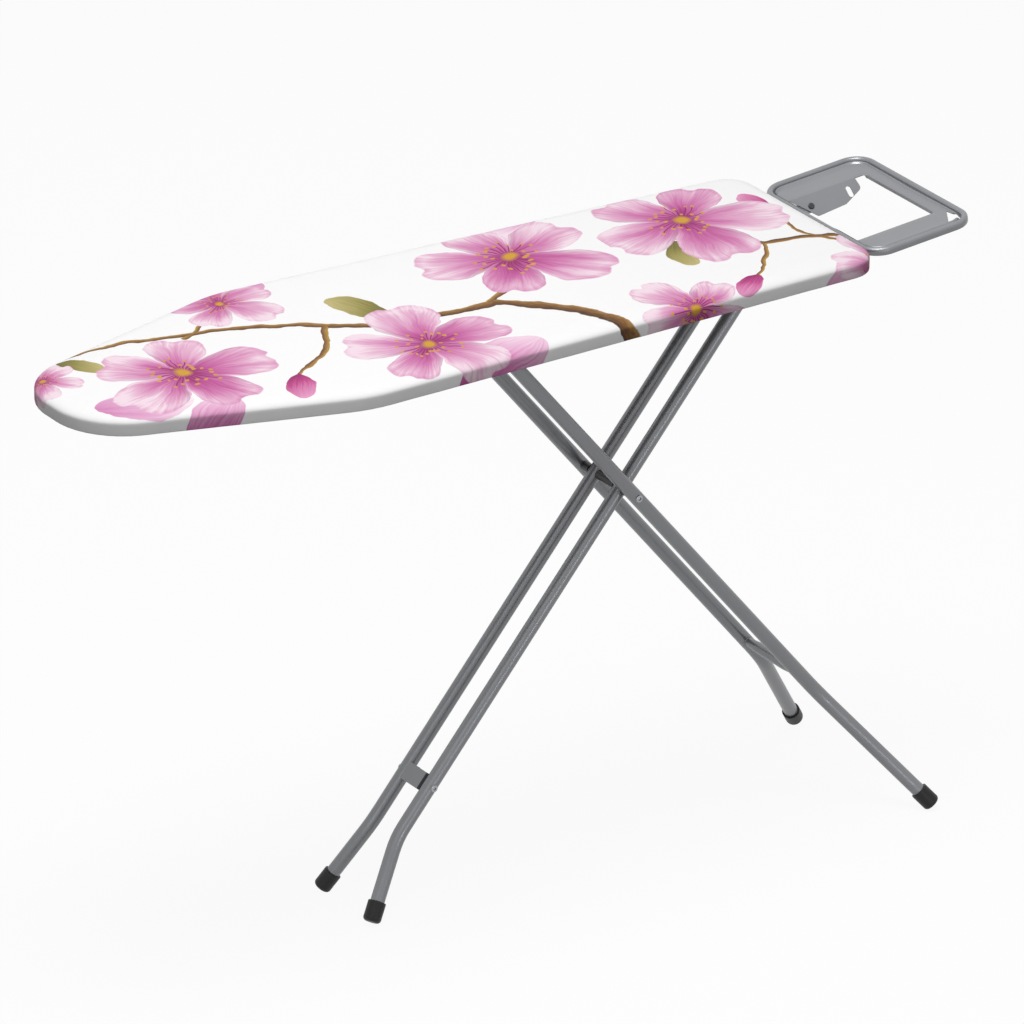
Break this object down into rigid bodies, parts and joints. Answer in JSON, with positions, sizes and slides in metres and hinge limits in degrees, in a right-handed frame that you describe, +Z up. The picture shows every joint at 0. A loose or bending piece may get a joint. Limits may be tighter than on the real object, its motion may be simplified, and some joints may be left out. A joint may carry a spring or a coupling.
{
  "type": "ironing board",
  "caption": "Folding ironing board with a padded cover, scissor tube legs, a sprung height lever and a sheet-steel iron rest.",
  "frame": {"origin": "on the floor, under the middle of the whole object's box", "axes": "+X from the nose to the iron rest, +Y to the far side in the picture, +Z up"},
  "size_m": [1.3923, 0.4068, 0.8621],
  "materials": {
    "cover_fabric": "matte",
    "pad_felt": "matte",
    "painted_steel": "satin",
    "bare_steel": "satin",
    "black_screw": "satin",
    "black_plastic": "satin"
  },
  "bodies": {
    "board": {"fabric_cover": "cover_fabric", "felt_pad": "pad_felt", "mesh_panel": "bare_steel", "board_frame": "painted_steel", "front_brace": "painted_steel", "middle_brace": "painted_steel", "rear_brace": "painted_steel", "end_brace": "painted_steel", "rack_rail_far": "painted_steel", "rack_rail_near": "painted_steel", "pivot_bracket_far": "painted_steel", "pivot_bracket_near": "painted_steel", "iron_rest": "painted_steel", "rest_arm_far": "painted_steel", "rest_arm_near": "painted_steel", "rest_screws": "black_screw", "lever_bracket": "bare_steel", "lever_pin": "bare_steel"},
    "lever": {"height_lever": "bare_steel", "lever_grip": "black_plastic", "lever_spring": "bare_steel"},
    "inner_legs": {"inner_leg_far": "painted_steel", "inner_leg_near": "painted_steel", "inner_foot_far": "black_plastic", "inner_foot_near": "black_plastic", "inner_crossbar": "painted_steel", "crossbar_rivets": "bare_steel", "pivot_rod": "bare_steel", "inner_sleeve": "black_plastic"},
    "outer_legs": {"outer_leg_far": "painted_steel", "outer_leg_near": "painted_steel", "outer_foot_far": "black_plastic", "outer_foot_near": "black_plastic", "outer_crossbar": "painted_steel", "slide_rod": "bare_steel", "slide_bush_far": "black_plastic", "slide_bush_near": "black_plastic", "crossing_pin": "bare_steel", "crossing_sleeve_far": "black_plastic", "crossing_sleeve_near": "black_plastic"}
  },
  "joints": [
    {"name": "leg_fold", "type": "hinge", "parent": "board", "child": "inner_legs", "pos_m": [0.42038, 0, 0.8202], "axis": [0, 1, 0], "range_deg": [0, 47]},
    {"name": "scissor", "type": "hinge", "parent": "inner_legs", "child": "outer_legs", "pos_m": [0.18638, 0, 0.538], "axis": [0, 1, 0], "range_deg": [-94, 0]},
    {"name": "lever_squeeze", "type": "hinge", "parent": "board", "child": "lever", "pos_m": [-0.14762, -0.122, 0.8302], "axis": [-1, 0, 0], "range_deg": [0, 6], "stiffness_Nm_per_rad": 2, "springref_deg": -6.88}
  ],
  "couplings": [
    {"joint": "scissor", "follows": "leg_fold", "ratio": -2}
  ]
}
